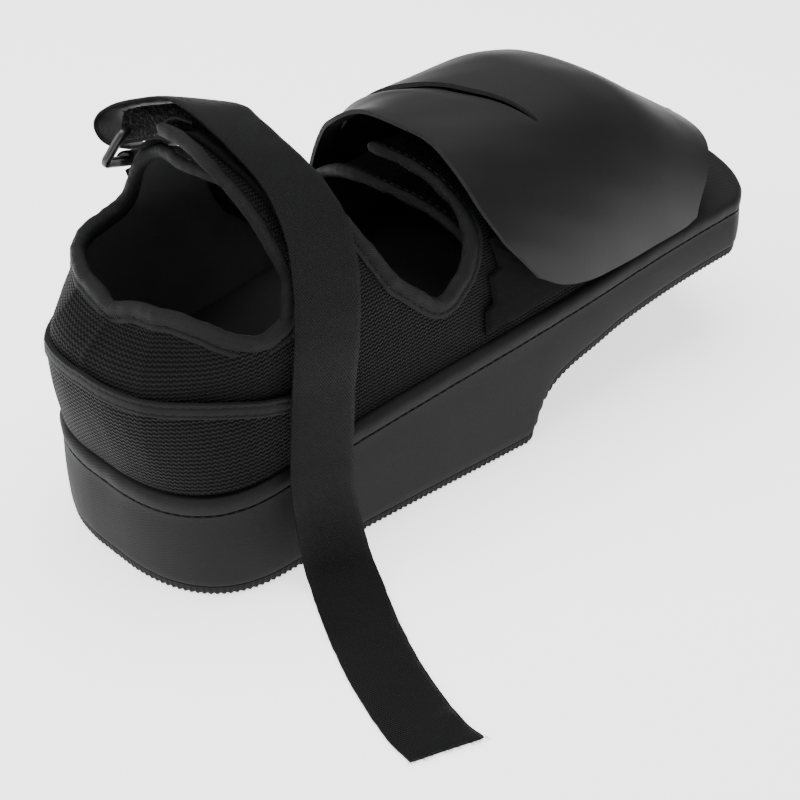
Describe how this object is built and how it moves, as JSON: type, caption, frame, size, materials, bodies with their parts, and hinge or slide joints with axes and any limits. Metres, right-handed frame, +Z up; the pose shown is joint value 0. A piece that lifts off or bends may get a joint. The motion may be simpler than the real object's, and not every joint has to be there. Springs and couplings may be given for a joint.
{
  "type": "post operative shoe",
  "caption": "Open-toe post operative shoe with a raised forefoot sole, padded mesh upper with crossed flaps, a forefoot cover and an ankle strap with a ring.",
  "frame": {"origin": "middle of the flat rear platform's underside, on the floor", "axes": "+X towards the toe along the sole's length, +Z up from the floor, +Y towards the wearer's left side"},
  "size_m": [0.2905, 0.2004, 0.148],
  "materials": {
    "tread_rubber": "matte rippled rubber",
    "sidewall_foam": "smooth matte foam",
    "welt_wrap": "wrapped cloth",
    "insole_cloth": "brushed cloth",
    "upper_mesh": "padded air mesh",
    "binding_twill": "twill tape",
    "loop_pile": "loop pile",
    "cover_sheet": "smooth satin sheet",
    "strap_webbing": "fine twill webbing",
    "ring_plastic": "satin moulded plastic"
  },
  "bodies": {
    "root": {"outsole_tread": "tread_rubber", "midsole": "sidewall_foam", "welt": "welt_wrap", "insole": "insole_cloth", "upper": "upper_mesh", "heel_counter": "upper_mesh", "collar_binding": "binding_twill", "instep_binding_right": "binding_twill", "instep_binding_left": "binding_twill", "toe_binding_right": "binding_twill", "toe_binding_left": "binding_twill", "ankle_loop_patch": "loop_pile", "forefoot_loop_patch": "loop_pile", "forefoot_cover": "cover_sheet", "ankle_strap": "strap_webbing", "strap_ring": "ring_plastic", "ring_tab": "strap_webbing"}
  },
  "joints": []
}
